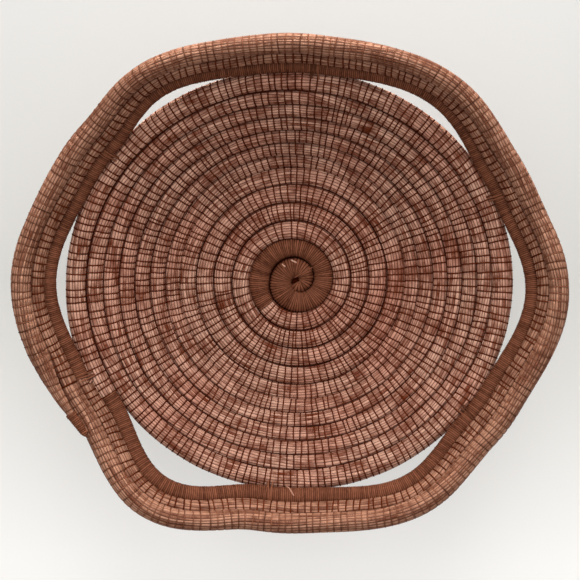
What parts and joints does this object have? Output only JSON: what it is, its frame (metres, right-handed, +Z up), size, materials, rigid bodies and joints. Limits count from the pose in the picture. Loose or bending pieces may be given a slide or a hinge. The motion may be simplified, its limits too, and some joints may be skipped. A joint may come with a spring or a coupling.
{
  "type": "coiled tray",
  "caption": "Round dished tray coiled from bundled pine needles stitched with dark thread, with a flat floor, a sloping wall and a wavy openwork rim of wrapped arches.",
  "frame": {"origin": "middle of the tray's outline, at the level of the surface it stands on", "axes": "+Z up out of the open side, +X along the long way of the slightly oval rim"},
  "size_m": [0.3006, 0.2706, 0.0884],
  "materials": {
    "needles": "dry, slightly glossy needles in fine parallel strands",
    "wrap_thread": "waxed thread wound side by side",
    "stitch_thread": "dark waxed thread"
  },
  "bodies": {
    "root": {"start_wrap": "wrap_thread", "start_core": "needles", "floor_coil": "needles", "lower_wall_coil": "needles", "upper_wall_coil": "needles", "openwork_core": "needles", "arch_wrap_1": "wrap_thread", "arch_wrap_2": "wrap_thread", "arch_wrap_3": "wrap_thread", "arch_wrap_4": "wrap_thread", "arch_wrap_5": "wrap_thread", "arch_wrap_6": "wrap_thread", "lashing_1": "stitch_thread", "lashing_2": "stitch_thread", "lashing_3": "stitch_thread", "lashing_4": "stitch_thread", "lashing_5": "stitch_thread", "lashing_6": "stitch_thread", "rim_coil": "needles", "rim_end_wrap": "wrap_thread"}
  },
  "joints": []
}
